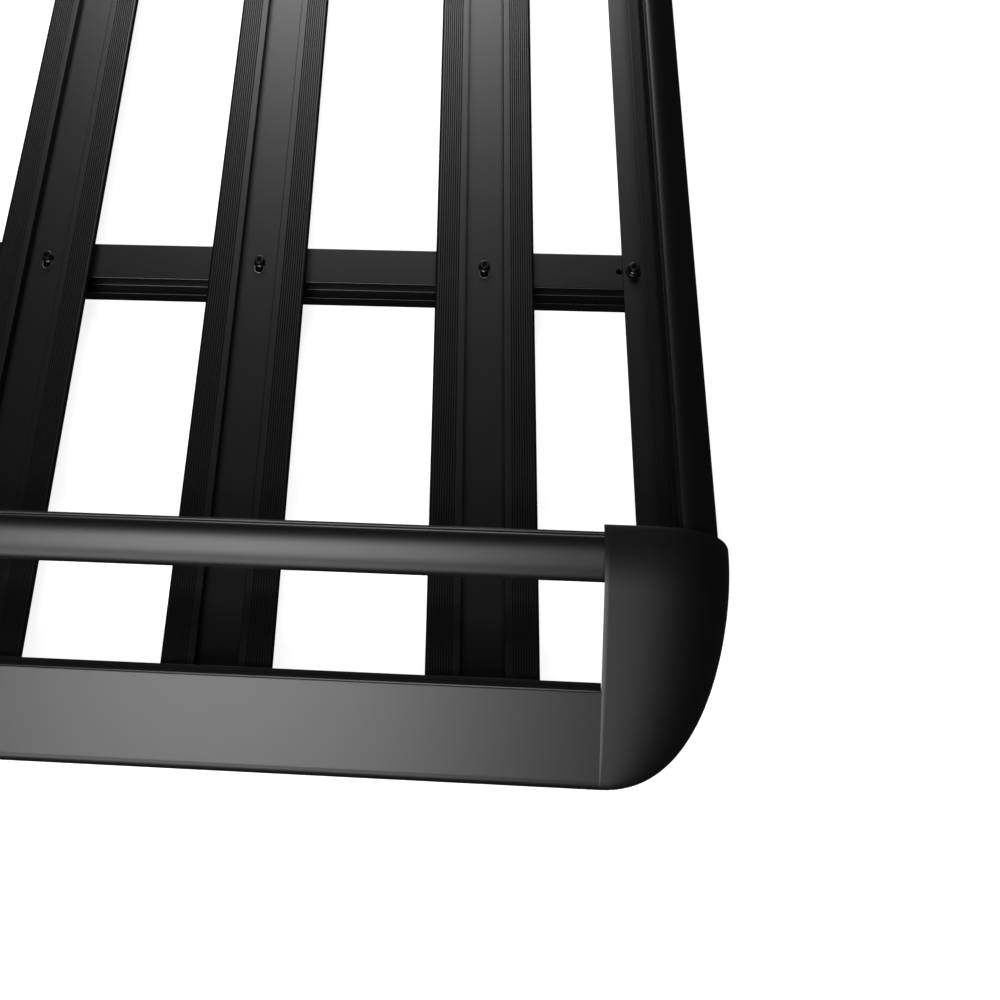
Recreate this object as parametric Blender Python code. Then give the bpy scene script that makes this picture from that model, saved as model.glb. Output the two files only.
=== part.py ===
"""Roof cargo basket: an aluminium roof tray with ribbed planks, a nose fairing at each end and corner covers.

Metres, +Z up, +X to the right of the rack, -Y to its front. The origin is under the middle of the rack, at the
level of the cross members' undersides.
"""

import math

import bmesh
import bpy
from mathutils import Matrix, Vector

MM = 0.001

# Overall size and fits
RACK_LENGTH = 1400 * MM
RACK_WIDTH = 1026 * MM
GAP = 0.3 * MM                 # between faces that touch
FIT = 0.5 * MM                 # between a piece and the pocket it sits in

# Heights above the cross members' undersides
CROSS_HEIGHT = 25 * MM
PLANK_HEIGHT = 13.2 * MM
LEDGE_TOP = CROSS_HEIGHT + 19.5 * MM     # top of the fascias and of the side rails
TOP_RAIL_Z = LEDGE_TOP + 26.5 * MM       # centre of the top rails
COVER_TOP = LEDGE_TOP + 51 * MM

# Planks
PLANK_COUNT = 4
PLANK_WIDTH = 90 * MM
PLANK_TO_FLANGE = 82.2 * MM    # from the outer plank to the side rail's flange
MIDDLE_PAIR_SHIFT = 2.4 * MM   # how far each middle plank sits in from an even spacing
CHANNEL_WIDTH = 35 * MM        # the flat channel along the middle of a plank
CHANNEL_DEPTH = 10.7 * MM
PLANK_WALL = 2.2 * MM
LIP_DEPTH = 5 * MM
SHOULDER = 3 * MM
GUTTER = 1.1 * MM              # shadow groove at the foot of each channel wall
RIB_GROOVES = 9
RIB_PITCH = 2.1 * MM
RIB_DEPTH = 0.5 * MM
SLOT_WIDTH = 7.6 * MM
SLOT_LENGTH = 15.6 * MM
SLOT_END_TO_SCREW = 4.6 * MM

# Cross members
CROSS_Y = 244.8 * MM           # from the middle of the rack to the middle of the deck
CROSS_DECK = 37.6 * MM
CROSS_LEDGE = 10.5 * MM
CROSS_LEDGE_Z = 12 * MM
CROSS_WALL = 2.5 * MM
T_SLOT_WIDTH = 10 * MM
SPARE_HOLE_FROM_FLANGE = 3 * MM

# Screws, washers and nuts
SHANK_RADIUS = 2.5 * MM
HOLE_RADIUS = SHANK_RADIUS + FIT
HEAD_RADIUS = 4.4 * MM
HEAD_HEIGHT = 4.6 * MM
HEAD_FLANGE_RADIUS = 5.4 * MM
HEAD_FLANGE = 1.1 * MM
SOCKET_RADIUS = 2.3 * MM
SOCKET_DEPTH = 2.6 * MM
WASHER_RADIUS = 6.8 * MM
WASHER_THICKNESS = 1.5 * MM
NUT_RADIUS = 4.6 * MM
NUT_HEIGHT = 4 * MM

# Top rails: a tilted oval tube, lower on its outer side, with a bead along its inner edge
RAIL_LONG_AXIS = 20 * MM
RAIL_SHORT_AXIS = 10 * MM
RAIL_TILT = math.radians(32)
RAIL_WALL = 2.2 * MM
RAIL_BEAD = 1.5 * MM
RAIL_POINTS = 28
SIDE_RAIL_INSET = 31.7 * MM    # from the rack's side to a side top rail's centre, less two cover walls
END_RAIL_INSET = 164.9 * MM    # from the rack's end to the centre of an end top rail

# Fascias
FASCIA_SLOPE = math.radians(28.4)
FASCIA_DEPTH = 65 * MM         # from the ledge's outer edge to the nose
FASCIA_WALL = 2.5 * MM
NOSE_RADIUS = 10 * MM
LEDGE_WIDTH = 8 * MM
SHELF = 12 * MM                # the shelf under the ends of the planks
FASCIA_SEAM = 0.4 * MM

# Side rails
FLANGE_WIDTH = 18.9 * MM
SIDE_STEP = 29 * MM            # from the flange's inner edge to the upright wall
SIDE_BOX_WIDTH = 28 * MM
SIDE_BOX_RADIUS = 11 * MM
SIDE_WALL = 2.5 * MM
SIDE_BOTTOM = 8 * MM
SIDE_WALL_BOTTOM = 12 * MM
BOX_TO_RACK_SIDE = 16.8 * MM

# Corner covers and what they hide
COVER_WALL = 1.8 * MM
COVER_INNER_CUT = 110.1 * MM   # from the rack's side to the cover's inner edge
COVER_REAR_CUT = 183.3 * MM    # from the rack's end to the cover's rear edge
COVER_PLAN_POWERS = (2.25, 1.9)          # across and along the plan's curve
COVER_SHOULDER_POWERS = (4.3, 3)         # fullness of the section at the rear cut and at the nose
COVER_FALL_POWER = 2.2
COVER_STATIONS = 13
COVER_SPOKES = 13
RAIL_END_INSIDE = 10 * MM      # how far a top rail runs in under a cover
SPIGOT = 40 * MM
BRACKET_PLATE = 12 * MM

# Side posts
POST_LENGTH = 34 * MM
POST_WIDTH = 13 * MM

# What follows from these
HALF_LENGTH = RACK_LENGTH / 2
HALF_WIDTH = RACK_WIDTH / 2
PLANK_BOTTOM = CROSS_HEIGHT + GAP
PLANK_TOP = PLANK_BOTTOM + PLANK_HEIGHT
FLOOR_TOP = PLANK_TOP - CHANNEL_DEPTH
FLANGE_TOP = PLANK_BOTTOM + SIDE_WALL
BOX_OUTER = HALF_WIDTH - BOX_TO_RACK_SIDE
WALL_INNER = BOX_OUTER - SIDE_BOX_WIDTH
FLANGE_INNER = WALL_INNER - SIDE_STEP
SIDE_RAIL_X = HALF_WIDTH - SIDE_RAIL_INSET - 2 * COVER_WALL
END_RAIL_Y = HALF_LENGTH - END_RAIL_INSET
LEDGE_OUTER = HALF_LENGTH - FASCIA_DEPTH
PLANK_END = LEDGE_OUTER - FIT
COVER_X = HALF_WIDTH - COVER_INNER_CUT
COVER_Y = HALF_LENGTH - COVER_REAR_CUT
OUTER_PLANK_X = FLANGE_INNER - PLANK_TO_FLANGE - PLANK_WIDTH / 2
CROSS_END = WALL_INNER - FIT

ENDS = {"front": -1, "rear": 1}
SIDES = {"left": -1, "right": 1}


# Materials

def material(name, color, roughness, metallic):
    made = bpy.data.materials.new(name)
    made.use_nodes = True
    shader = made.node_tree.nodes["Principled BSDF"]
    shader.inputs["Base Color"].default_value = (*color, 1)
    shader.inputs["Roughness"].default_value = roughness
    shader.inputs["Metallic"].default_value = metallic
    return made


# Outlines: lists of (outward, height) points

def arc(center, radius, start, stop, count):
    """Points along an arc, with angles in degrees from the outward direction."""
    angles = [math.radians(start + (stop - start) * i / (count - 1)) for i in range(count)]
    return [(center[0] + radius * math.cos(a), center[1] + radius * math.sin(a)) for a in angles]


def plank_half():
    """The right half of a plank's outline, from the channel floor out along the top and back underneath."""
    channel = CHANNEL_WIDTH / 2
    edge = PLANK_WIDTH / 2
    bevel = 0.4 * MM
    points = [(channel - GUTTER, FLOOR_TOP), (channel - 0.8 * GUTTER, FLOOR_TOP - 0.7 * GUTTER)]
    points += [(channel, FLOOR_TOP - 0.7 * GUTTER), (channel, PLANK_TOP - bevel), (channel + bevel, PLANK_TOP)]
    grooves = min(RIB_GROOVES, int((edge - SHOULDER - channel) / RIB_PITCH) - 1)
    first = edge - SHOULDER - RIB_PITCH * grooves
    for i in range(grooves):
        start = first + RIB_PITCH * i
        points += [(start + 0.1 * RIB_PITCH, PLANK_TOP), (start + 0.2 * RIB_PITCH, PLANK_TOP - RIB_DEPTH)]
        points += [(start + 0.4 * RIB_PITCH, PLANK_TOP - RIB_DEPTH), (start + 0.5 * RIB_PITCH, PLANK_TOP)]
    points += arc((edge - SHOULDER, PLANK_TOP - SHOULDER), SHOULDER, 90, 0, 5)
    points += [(edge, PLANK_TOP - LIP_DEPTH), (edge - PLANK_WALL, PLANK_TOP - LIP_DEPTH)]
    points += [(edge - PLANK_WALL, PLANK_TOP - SHOULDER), (edge - SHOULDER, PLANK_TOP - PLANK_WALL)]
    points += [(channel + PLANK_WALL, PLANK_TOP - PLANK_WALL), (channel + PLANK_WALL, PLANK_BOTTOM)]
    return points


def plank_outline():
    half = plank_half()
    return half + [(-x, z) for x, z in reversed(half)]


def cross_outline():
    """A cross member, with the outward direction towards the nearer end of the rack."""
    half = CROSS_DECK / 2
    outer = half + CROSS_LEDGE
    inside = half - CROSS_WALL
    slot = T_SLOT_WIDTH / 2
    lip = 3 * MM
    lip_top = CROSS_LEDGE_Z + 2 * MM
    bevel = 0.5 * MM
    points = [(-half, 0), (-slot, 0), (-slot, lip), (-inside, lip), (-inside, CROSS_HEIGHT - CROSS_WALL)]
    points += [(inside, CROSS_HEIGHT - CROSS_WALL), (inside, lip), (slot, lip), (slot, 0)]
    points += [(half, 0), (half, CROSS_LEDGE_Z - CROSS_WALL), (outer - CROSS_WALL, CROSS_LEDGE_Z - CROSS_WALL)]
    points += [(outer - CROSS_WALL, 0), (outer - bevel, 0), (outer, bevel), (outer, lip_top - bevel)]
    points += [(outer - bevel, lip_top), (outer - 3 * bevel, lip_top), (outer - 5 * bevel, CROSS_LEDGE_Z)]
    points += [(half + 2 * bevel, CROSS_LEDGE_Z), (half, CROSS_LEDGE_Z + 2 * bevel)]
    points += [(half, CROSS_HEIGHT - bevel), (half - bevel, CROSS_HEIGHT)]
    points += [(bevel - half, CROSS_HEIGHT), (-half, CROSS_HEIGHT - bevel)]
    return points


def rail_outline(inset=0.0, bead=True):
    """A top rail about its own centre. A positive inset gives the tube's hollow, a negative one a cutter."""
    points = []
    for i in range(RAIL_POINTS):
        turn = math.pi - 2 * math.pi * i / RAIL_POINTS
        along = (RAIL_LONG_AXIS - inset) * math.cos(turn)
        across = (RAIL_SHORT_AXIS - inset) * math.sin(turn)
        out = along * math.cos(RAIL_TILT) + across * math.sin(RAIL_TILT)
        up = across * math.cos(RAIL_TILT) - along * math.sin(RAIL_TILT)
        if bead and i in (1, 2):
            # The bead stands off the inner edge, and the tube's skin dips behind it.
            grow = RAIL_BEAD if i == 1 else -0.5 * RAIL_BEAD
            out += grow * math.cos(turn) * 0.6
            up += grow * 0.8
        points.append((out, up))
    return points


def fascia_slope(outward):
    """Height of a fascia's face at a distance outward of its ledge's outer edge."""
    return LEDGE_TOP - math.tan(FASCIA_SLOPE) * outward


def nose_arc(radius, count):
    """The rounded nose, from the sloping face to straight down, outward of the ledge's outer edge."""
    center_out = FASCIA_DEPTH - NOSE_RADIUS
    tangent = center_out + NOSE_RADIUS * math.sin(FASCIA_SLOPE)
    center_up = fascia_slope(tangent) - NOSE_RADIUS * math.cos(FASCIA_SLOPE)
    return arc((center_out, center_up), radius, 90 - math.degrees(FASCIA_SLOPE), 0, count)


def fascia_outline():
    """An end fascia, measured outward from its ledge's outer edge."""
    groove = 0.5 * MM
    points = [(-LEDGE_WIDTH, LEDGE_TOP)]
    for start in (-0.62 * LEDGE_WIDTH, -0.28 * LEDGE_WIDTH):
        points += [(start, LEDGE_TOP), (start + 0.3 * groove, LEDGE_TOP - groove)]
        points += [(start + 1.1 * groove, LEDGE_TOP - groove), (start + 1.4 * groove, LEDGE_TOP)]
    points += [(-1.2 * groove, LEDGE_TOP + groove), (0, LEDGE_TOP + groove), (groove, fascia_slope(groove))]
    points += nose_arc(NOSE_RADIUS, 7)
    points += reversed(nose_arc(NOSE_RADIUS - FASCIA_WALL, 7))
    wall_up = FASCIA_WALL / math.cos(FASCIA_SLOPE)
    points += [(FASCIA_WALL, fascia_slope(FASCIA_WALL) - wall_up)]
    points += [(FASCIA_WALL, CROSS_HEIGHT - FASCIA_WALL), (FASCIA_WALL - SHELF - GAP, CROSS_HEIGHT - FASCIA_WALL)]
    points += [(FASCIA_WALL - SHELF - GAP, CROSS_HEIGHT), (0, CROSS_HEIGHT)]
    points += [(0, LEDGE_TOP - FASCIA_WALL), (-LEDGE_WIDTH, LEDGE_TOP - FASCIA_WALL)]
    return points


def side_outline():
    """A side rail, measured outward from its flange's inner edge."""
    outer = SIDE_STEP + SIDE_BOX_WIDTH
    bead = 0.6 * MM
    shoulder = outer - SIDE_BOX_RADIUS
    shoulder_z = LEDGE_TOP - SIDE_BOX_RADIUS
    points = [(0, PLANK_BOTTOM), (0, FLANGE_TOP - 0.5 * bead), (0.5 * bead, FLANGE_TOP)]
    points += [(FLANGE_WIDTH, FLANGE_TOP), (FLANGE_WIDTH + 0.5 * bead, FLANGE_TOP - 1.6 * bead)]
    points += [(FLANGE_WIDTH + 2 * bead, FLANGE_TOP - 1.6 * bead), (FLANGE_WIDTH + 2.3 * bead, FLANGE_TOP + bead)]
    points += [(FLANGE_WIDTH + 4 * bead, FLANGE_TOP + bead), (FLANGE_WIDTH + 4.6 * bead, FLANGE_TOP)]
    points += [(SIDE_STEP, FLANGE_TOP), (SIDE_STEP, LEDGE_TOP)]
    points += arc((shoulder, shoulder_z), SIDE_BOX_RADIUS, 90, 0, 7)
    points += [(outer, SIDE_BOTTOM), (outer - SIDE_WALL, SIDE_BOTTOM)]
    points += reversed(arc((shoulder, shoulder_z), SIDE_BOX_RADIUS - SIDE_WALL, 90, 0, 7))
    points += [(SIDE_STEP + SIDE_WALL, LEDGE_TOP - SIDE_WALL), (SIDE_STEP + SIDE_WALL, SIDE_WALL_BOTTOM)]
    points += [(SIDE_STEP, SIDE_WALL_BOTTOM), (SIDE_STEP, PLANK_BOTTOM)]
    return points


def circle(radius, count):
    return [(radius * math.cos(2 * math.pi * i / count), radius * math.sin(2 * math.pi * i / count))
            for i in range(count)]


# Solids

def link(name, mesh, look, helper=False):
    made = bpy.data.objects.new(name, mesh)
    bpy.context.scene.collection.objects.link(made)
    if helper:
        made.hide_render = True
        made.display_type = "WIRE"
    else:
        mesh.materials.append(look)
    return made


def finish_mesh(shape, name, smooth_below=30):
    bmesh.ops.recalc_face_normals(shape, faces=shape.faces)
    mesh = bpy.data.meshes.new(name)
    shape.to_mesh(mesh)
    shape.free()
    mesh.shade_smooth()
    mesh.set_sharp_from_angle(angle=math.radians(smooth_below))
    return mesh


def prism(name, outline, start, stop, frame, look=None, helper=False):
    """Extrudes an outline between two distances. The frame's columns are outward, up and along."""
    shape = bmesh.new()
    rings = []
    for distance in (start, stop):
        rings.append([shape.verts.new(frame @ Vector((out, up, distance))) for out, up in outline])
    count = len(outline)
    for i in range(count):
        after = (i + 1) % count
        shape.faces.new((rings[0][i], rings[0][after], rings[1][after], rings[1][i]))
    for ring in rings:
        shape.faces.new(ring)
    return link(name, finish_mesh(shape, name), look, helper)


def frame_of(outward, along, origin=(0, 0, 0)):
    """A frame whose first axis points outward, second up and third along."""
    columns = Matrix((outward, (0, 0, 1), along)).transposed().to_4x4()
    return Matrix.Translation(origin) @ columns


def box(name, low, high, look=None, helper=True):
    outline = [(low[0], low[1]), (high[0], low[1]), (high[0], high[1]), (low[0], high[1])]
    return prism(name, outline, low[2], high[2], Matrix.Identity(4), look, helper)


def modify(target, tool, operation):
    modifier = target.modifiers.new(tool.name, "BOOLEAN")
    modifier.operation = operation
    modifier.solver = "EXACT"
    modifier.object = tool


def cut(target, tool):
    modify(target, tool, "DIFFERENCE")


def join(target, tool):
    modify(target, tool, "UNION")


def upright_cutter(name, outline, x, y, low, high):
    return prism(name, outline, low, high, Matrix.Translation((x, y, 0)), helper=True)


# Where the planks and the screws sit

def plank_places():
    pitch = 2 * OUTER_PLANK_X / (PLANK_COUNT - 1)
    places = [-OUTER_PLANK_X + pitch * i for i in range(PLANK_COUNT)]
    for i in range(1, PLANK_COUNT - 1):
        places[i] -= math.copysign(MIDDLE_PAIR_SHIFT, places[i])
    return places


FLANGE_SCREW_X = FLANGE_INNER + FLANGE_WIDTH / 2


def make_planks(look):
    for number, x in enumerate(plank_places(), 1):
        along = frame_of((1, 0, 0), (0, 1, 0), (x, 0, 0))
        plank = prism(f"plank_{number}", plank_outline(), -PLANK_END, PLANK_END, along, look)
        for end, sign in ENDS.items():
            radius = SLOT_WIDTH / 2
            straight = SLOT_LENGTH - SLOT_WIDTH
            outline = arc((0, straight), radius, 0, 180, 9) + arc((0, 0), radius, 180, 360, 9)
            start = CROSS_Y - SLOT_END_TO_SCREW + radius
            outline = [(side, sign * (start + along_slot)) for side, along_slot in outline]
            slot = upright_cutter(f"slot_{number}_{end}", outline, x, 0, PLANK_BOTTOM - 2 * MM, PLANK_TOP)
            cut(plank, slot)


def make_cross_members(look):
    for end, sign in ENDS.items():
        frame = frame_of((0, sign, 0), (1, 0, 0), (0, sign * CROSS_Y, 0))
        member = prism(f"cross_member_{end}", cross_outline(), -CROSS_END, CROSS_END, frame, look)
        holes = plank_places()
        for side in SIDES.values():
            holes += [side * FLANGE_SCREW_X, side * (FLANGE_INNER - SPARE_HOLE_FROM_FLANGE)]
        for i, x in enumerate(holes):
            low = CROSS_HEIGHT - 2 * CROSS_WALL
            hole = upright_cutter(f"deck_hole_{end}_{i}", circle(HOLE_RADIUS, 12), x, sign * CROSS_Y, low,
                                  CROSS_HEIGHT + CROSS_WALL)
            cut(member, hole)


def make_side_rails(look):
    length = COVER_Y + RAIL_END_INSIDE
    for side, sign in SIDES.items():
        frame = frame_of((sign, 0, 0), (0, 1, 0), (sign * FLANGE_INNER, 0, 0))
        rail = prism(f"side_rail_{side}", side_outline(), -length, length, frame, look)
        for end, toward in ENDS.items():
            hole = upright_cutter(f"flange_hole_{side}_{end}", circle(HOLE_RADIUS, 12), sign * FLANGE_SCREW_X,
                                  toward * CROSS_Y, PLANK_BOTTOM - SIDE_WALL, FLANGE_TOP + SIDE_WALL)
            cut(rail, hole)


def hollow(rail, frame, length):
    bore = prism("bore_" + rail.name, rail_outline(RAIL_WALL, bead=False), -length, length, frame, helper=True)
    cut(rail, bore)


def make_top_rails(look):
    for side, sign in SIDES.items():
        frame = frame_of((sign, 0, 0), (0, 1, 0), (sign * SIDE_RAIL_X, 0, TOP_RAIL_Z))
        length = COVER_Y + RAIL_END_INSIDE
        rail = prism(f"top_rail_{side}", rail_outline(), -length, length, frame, look)
        hollow(rail, frame, 2 * length)
    for end, sign in ENDS.items():
        frame = frame_of((0, sign, 0), (1, 0, 0), (0, sign * END_RAIL_Y, TOP_RAIL_Z))
        length = COVER_X + RAIL_END_INSIDE
        rail = prism(f"top_rail_{end}", rail_outline(), -length, length, frame, look)
        hollow(rail, frame, 2 * length)


def make_fascias(look):
    length = COVER_X - FASCIA_SEAM
    for end, sign in ENDS.items():
        frame = frame_of((0, sign, 0), (1, 0, 0), (0, sign * LEDGE_OUTER, 0))
        prism(f"fascia_{end}", fascia_outline(), -length, length, frame, look)


# Corner covers: rounded sections, one behind another, that shrink along the cover's plan towards the nose

def nose_profile():
    """The cover's profile along its inner cut: level, then bending down into the fascia's slope and nose."""
    ledge = LEDGE_OUTER - COVER_Y
    slope = math.tan(FASCIA_SLOPE)
    drop = COVER_TOP - LEDGE_TOP
    bend = 2 * (ledge - drop / slope)
    points = []
    for i in range(25):
        out = bend * i / 24
        points.append((out, COVER_TOP - slope * out * out / (2 * bend)))
    points += [(ledge + out, up) for out, up in nose_arc(NOSE_RADIUS, 9)]
    return points


def height_at(profile, out):
    for (out0, up0), (out1, up1) in zip(profile, profile[1:]):
        if out <= out1:
            return up0 + (up1 - up0) * (out - out0) / (out1 - out0)
    return profile[-1][1]


def cover_surface(shrink):
    """Rows of points of the shell's outer face, or of its inner face when shrunk by its wall."""
    profile = nose_profile()
    bottom = profile[-1][1]
    across_power, along_power = COVER_PLAN_POWERS
    rear_power, nose_power = COVER_SHOULDER_POWERS
    rows = []
    for i in range(COVER_STATIONS):
        turn = math.pi / 2 * i / COVER_STATIONS
        share = math.sin(turn) ** (2 / along_power)
        width = (COVER_INNER_CUT - shrink) * math.cos(turn) ** (2 / across_power)
        height = height_at(profile, COVER_REAR_CUT * share) - bottom - shrink
        power = rear_power + (nose_power - rear_power) * share ** 2
        row = []
        for j in range(COVER_SPOKES):
            # Closer together towards the side, where the section falls steeply.
            out = 1 - (1 - j / (COVER_SPOKES - 1)) ** 2.5
            up = (1 - out ** power) ** (1 / COVER_FALL_POWER)
            row.append((width * out, (COVER_REAR_CUT - shrink) * share, bottom + height * up))
        rows.append(row)
    return rows, (0, COVER_REAR_CUT - shrink, bottom)


def cover_mesh(name, sign_x, sign_y):
    shape = bmesh.new()
    shells = []
    for shrink in (0, COVER_WALL):
        rows, tip = cover_surface(shrink)
        grid = []
        for row in rows + [[tip]]:
            grid.append([shape.verts.new((sign_x * (COVER_X + x), sign_y * (COVER_Y + y), z)) for x, y, z in row])
        for near, far in zip(grid[:-1], grid[1:-1]):
            for j in range(COVER_SPOKES - 1):
                shape.faces.new((near[j], near[j + 1], far[j + 1], far[j]))
        for j in range(COVER_SPOKES - 1):
            shape.faces.new((grid[-2][j], grid[-2][j + 1], grid[-1][0]))
        shells.append(grid)
    # The rims: the rear cut, the inner cut and the bottom edge.
    outer, inner = shells
    rims = [(outer[0], inner[0])]
    for index in (0, -1):
        rims.append(([row[index] for row in outer], [row[index] for row in inner]))
    for outside, inside in rims:
        for j in range(len(outside) - 1):
            shape.faces.new((outside[j], outside[j + 1], inside[j + 1], inside[j]))
    return finish_mesh(shape, name, smooth_below=50)


def make_covers(look):
    for end, sign_y in ENDS.items():
        for side, sign_x in SIDES.items():
            name = f"corner_cover_{end}_{side}"
            link(name, cover_mesh(name, sign_x, sign_y), look)


# Corner brackets, which carry the rails and the fascias under the covers

def corner_box(name, sign_x, sign_y, low, high):
    """A box given for the front right corner as distances from the rack's middle."""
    xs = sorted((sign_x * low[0], sign_x * high[0]))
    ys = sorted((sign_y * low[1], sign_y * high[1]))
    return (name, (xs[0], ys[0], low[2]), (xs[1], ys[1], high[2]))


def make_brackets(look):
    rail_end_x = COVER_X + RAIL_END_INSIDE + GAP
    rail_end_y = COVER_Y + RAIL_END_INSIDE + GAP
    spigot = rail_outline(RAIL_WALL + FIT, bead=False)
    head_low = TOP_RAIL_Z - RAIL_SHORT_AXIS
    head_high = TOP_RAIL_Z + 0.2 * RAIL_SHORT_AXIS
    foot_low, foot_high = SIDE_WALL_BOTTOM, CROSS_HEIGHT
    post_inner, post_outer = rail_end_x, FLANGE_INNER + BRACKET_PLATE
    skin = fascia_slope(2 * BRACKET_PLATE) - 2 * FASCIA_WALL
    boxes = {
        "head": ((post_inner, rail_end_y, head_low), (SIDE_RAIL_X, rail_end_y + BRACKET_PLATE, head_high)),
        "end_head": ((post_inner, END_RAIL_Y - BRACKET_PLATE, head_low),
                     (post_outer, rail_end_y + BRACKET_PLATE, head_high)),
        "post": ((post_inner, rail_end_y, foot_low), (post_outer, rail_end_y + 2 * BRACKET_PLATE, head_low + MM)),
        "foot": ((FLANGE_INNER + MM, COVER_Y - BRACKET_PLATE, foot_low),
                 (WALL_INNER - MM, rail_end_y + 2 * BRACKET_PLATE, foot_high)),
        "arm": ((post_inner, rail_end_y + BRACKET_PLATE, foot_low),
                (post_outer, LEDGE_OUTER + 2 * BRACKET_PLATE, foot_low + 0.6 * BRACKET_PLATE)),
        "fascia_arm": ((COVER_X - 2 * BRACKET_PLATE, LEDGE_OUTER + 0.5 * BRACKET_PLATE, foot_low),
                       (post_outer, LEDGE_OUTER + 2 * BRACKET_PLATE, min(skin, foot_low + 0.6 * BRACKET_PLATE))),
    }
    for end, sign_y in ENDS.items():
        for side, sign_x in SIDES.items():
            corner = f"{end}_{side}"
            frame = frame_of((sign_x, 0, 0), (0, sign_y, 0), (sign_x * SIDE_RAIL_X, 0, TOP_RAIL_Z))
            stop = rail_end_y + BRACKET_PLATE / 2
            bracket = prism(f"corner_bracket_{corner}", spigot, stop - SPIGOT, stop, frame, look)
            frame = frame_of((0, sign_y, 0), (sign_x, 0, 0), (0, sign_y * END_RAIL_Y, TOP_RAIL_Z))
            stop = rail_end_x + BRACKET_PLATE / 2
            join(bracket, prism(f"end_spigot_{corner}", spigot, stop - SPIGOT, stop, frame, helper=True))
            for label, (low, high) in boxes.items():
                join(bracket, box(*corner_box(f"{label}_{corner}", sign_x, sign_y, low, high)))


# Posts between the side rails and the side top rails

def make_posts(look):
    low = LEDGE_TOP + GAP
    high = TOP_RAIL_Z
    taper = 1.5 * MM
    half = POST_WIDTH / 2
    outline = [(-half, low), (half, low), (half, low + taper), (half - taper, low + 2 * taper)]
    outline += [(half - taper, high), (taper - half, high), (taper - half, low + 2 * taper), (-half, low + taper)]
    shift = WALL_INNER + SIDE_BOX_WIDTH / 2 - 3 * taper - SIDE_RAIL_X
    for end, toward in ENDS.items():
        for side, sign in SIDES.items():
            x = sign * (SIDE_RAIL_X + shift)
            frame = frame_of((sign, 0, 0), (0, 1, 0), (x, toward * CROSS_Y, 0))
            post = prism(f"rail_post_{end}_{side}", outline, -POST_LENGTH / 2, POST_LENGTH / 2, frame, look)
            above = frame_of((sign, 0, 0), (0, 1, 0), (sign * SIDE_RAIL_X, toward * CROSS_Y, TOP_RAIL_Z))
            seat = rail_outline(-GAP)
            cut(post, prism(f"seat_{end}_{side}", seat, -POST_LENGTH, POST_LENGTH, above, helper=True))


# Fasteners

def turned(profile, count):
    """A solid turned about +Z from (radius, height) points that start and end on the axis."""
    shape = bmesh.new()
    rings = []
    for radius, height in profile:
        if radius == 0:
            rings.append([shape.verts.new((0, 0, height))] * count)
        else:
            rings.append([shape.verts.new((x, y, height)) for x, y in circle(radius, count)])
    for low, high in zip(rings, rings[1:]):
        for i in range(count):
            after = (i + 1) % count
            corners = []
            for corner in (low[i], low[after], high[after], high[i]):
                if corner not in corners:
                    corners.append(corner)
            shape.faces.new(corners)
    return shape


def make_screw(name, x, y, seat, tip, look):
    top = HEAD_FLANGE + HEAD_HEIGHT
    bevel = 0.5 * MM
    profile = [(0, tip - seat), (SHANK_RADIUS, tip - seat), (SHANK_RADIUS, 0), (HEAD_FLANGE_RADIUS - bevel, 0)]
    profile += [(HEAD_FLANGE_RADIUS, 0.5 * bevel), (HEAD_FLANGE_RADIUS, HEAD_FLANGE - bevel)]
    profile += [(HEAD_RADIUS, HEAD_FLANGE), (HEAD_RADIUS, top - bevel), (HEAD_RADIUS - bevel, top), (0, top)]
    mesh = finish_mesh(turned(profile, 14), name)
    screw = link(name, mesh, look)
    screw.location = (x, y, seat)
    socket = prism("socket_" + name, circle(SOCKET_RADIUS, 6), seat + top - SOCKET_DEPTH, seat + top + bevel,
                   Matrix.Translation((x, y, 0)), helper=True)
    cut(screw, socket)


def make_ring(name, x, y, low, high, radius, count, bore, look):
    frame = Matrix.Translation((x, y, 0))
    ring = prism(name, circle(radius, count), low, high, frame, look)
    cut(ring, upright_cutter("bore_" + name, circle(bore, 12), x, y, low - MM, high + MM))


def make_fasteners(look):
    nut_top = CROSS_HEIGHT - CROSS_WALL - GAP
    nut_low = nut_top - NUT_HEIGHT
    tip = nut_low - MM
    bore = SHANK_RADIUS + GAP
    for end, toward in ENDS.items():
        y = toward * CROSS_Y
        for number, x in enumerate(plank_places(), 1):
            make_screw(f"plank_screw_{end}_{number}", x, y, FLOOR_TOP + GAP, tip, look)
            make_ring(f"plank_nut_{end}_{number}", x, y, nut_low, nut_top, NUT_RADIUS, 6, bore, look)
        for side, sign in SIDES.items():
            x = sign * FLANGE_SCREW_X
            washer = FLANGE_TOP + GAP
            seat = washer + WASHER_THICKNESS + GAP
            make_ring(f"rail_washer_{end}_{side}", x, y, washer, washer + WASHER_THICKNESS, WASHER_RADIUS, 24,
                      bore, look)
            make_screw(f"rail_screw_{end}_{side}", x, y, seat, tip, look)
            make_ring(f"rail_nut_{end}_{side}", x, y, nut_low, nut_top, NUT_RADIUS, 6, bore, look)


def main():
    for old in list(bpy.data.objects):
        bpy.data.objects.remove(old)
    powder = material("black_powder_coat", (0.022, 0.022, 0.024), 0.42, 0.0)
    plastic = material("black_plastic", (0.018, 0.018, 0.019), 0.55, 0.0)
    casting = material("cast_aluminium", (0.32, 0.32, 0.33), 0.5, 1.0)
    steel = material("black_steel", (0.05, 0.05, 0.052), 0.35, 1.0)
    make_planks(powder)
    make_cross_members(powder)
    make_side_rails(powder)
    make_top_rails(powder)
    make_fascias(powder)
    make_covers(plastic)
    make_brackets(casting)
    make_posts(plastic)
    make_fasteners(steel)


main()
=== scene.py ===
"""The looks of the roof cargo basket: fine surfaces, materials, light and camera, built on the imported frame.

Outlines are (outward, height) points in metres. Outward is towards the nearer side or end of the rack.
"""

import math

import bmesh
import bpy
from mathutils import Matrix, Vector


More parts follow.
